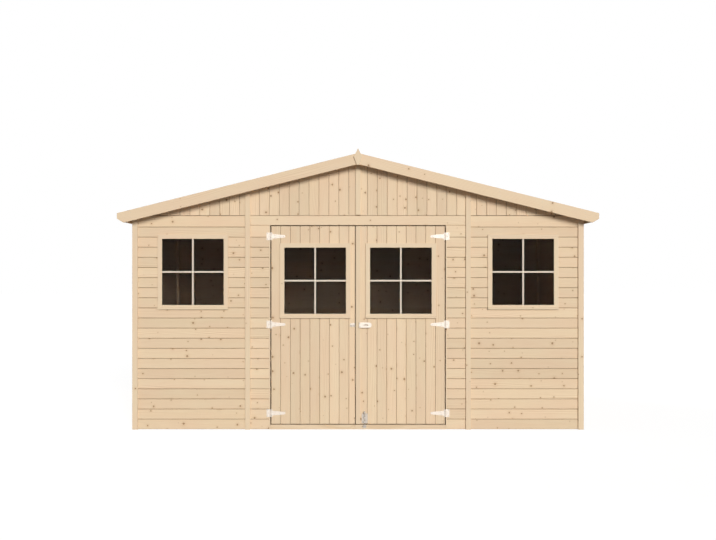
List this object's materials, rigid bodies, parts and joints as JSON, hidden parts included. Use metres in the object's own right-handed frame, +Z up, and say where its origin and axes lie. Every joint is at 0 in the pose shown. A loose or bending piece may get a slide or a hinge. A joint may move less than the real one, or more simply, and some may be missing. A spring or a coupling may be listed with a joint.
{
  "type": "wooden garden shed",
  "caption": "Low-gabled garden shed of planed softwood boards with a board and felt roof, outward double doors on strap hinges, barred windows, a hasp and a foot bolt.",
  "frame": {"origin": "centre of the footprint at ground level", "axes": "+X to the right of the front, +Y from the front to the back along the ridge, +Z up"},
  "size_m": [4.18, 3.252, 2.4557],
  "materials": {
    "cladding": "planed untreated softwood boards with small knots",
    "trim": "planed softwood battens",
    "window_wood": "planed softwood window frames",
    "roof_trim": "planed softwood roof edge boards",
    "frame_wood": "sawn softwood",
    "sill_wood": "planed softwood, a little yellower",
    "glazing": "clear thin window glass, dark from outside",
    "felt": "mineral roofing felt",
    "zinc": "bright zinc-plated sheet steel"
  },
  "bodies": {
    "root": {"front_wall_left": "cladding", "front_wall_right": "cladding", "front_strips": "cladding", "front_gable": "cladding", "left_wall": "cladding", "right_wall": "cladding", "back_wall": "cladding", "back_gable": "cladding", "front_header": "trim", "corner_trims": "trim", "front_battens": "trim", "side_and_back_battens": "trim", "finials": "trim", "door_jambs": "trim", "wall_window_frames": "window_wood", "bargeboards": "roof_trim", "eave_boards": "roof_trim", "front_frame": "frame_wood", "back_frame": "frame_wood", "side_frames": "frame_wood", "roof_purlins": "frame_wood", "roof_deck_left": "frame_wood", "roof_deck_right": "frame_wood", "floor_bearers": "frame_wood", "floor_boards": "frame_wood", "door_sill": "sill_wood", "wall_window_glass": "glazing", "roof_felt": "felt", "hinge_plates": "zinc", "bolt_keeper": "zinc"},
    "left_door": {"left_door_boards": "cladding", "left_door_ledges": "frame_wood", "left_door_window_frame": "window_wood", "left_door_glass": "glazing", "left_door_hinge_straps": "zinc", "hasp_staple": "zinc"},
    "right_door": {"right_door_boards": "cladding", "right_door_ledges": "frame_wood", "right_door_window_frame": "window_wood", "right_door_glass": "glazing", "right_door_hinge_straps": "zinc", "door_cover_strip": "trim", "hasp_leaf": "zinc", "bolt_housing": "zinc"},
    "flap": {"hasp_flap": "zinc"},
    "rod": {"bolt_rod": "zinc"}
  },
  "joints": [
    {"name": "left_door_hinge", "type": "hinge", "parent": "root", "child": "left_door", "pos_m": [-0.767, -1.4952, 0.922], "axis": [0, 0, -1], "range_deg": [0, 160]},
    {"name": "right_door_hinge", "type": "hinge", "parent": "root", "child": "right_door", "pos_m": [0.767, -1.4952, 0.922], "axis": [0, 0, 1], "range_deg": [0, 160]},
    {"name": "hasp_hinge", "type": "hinge", "parent": "right_door", "child": "flap", "pos_m": [0.012, -1.5112, 0.917], "axis": [0, 0, -1], "range_deg": [0, 180]},
    {"name": "bolt_slide", "type": "slide", "parent": "right_door", "child": "rod", "axis": [0, 0, -1], "range_m": [0, 0.03]}
  ]
}
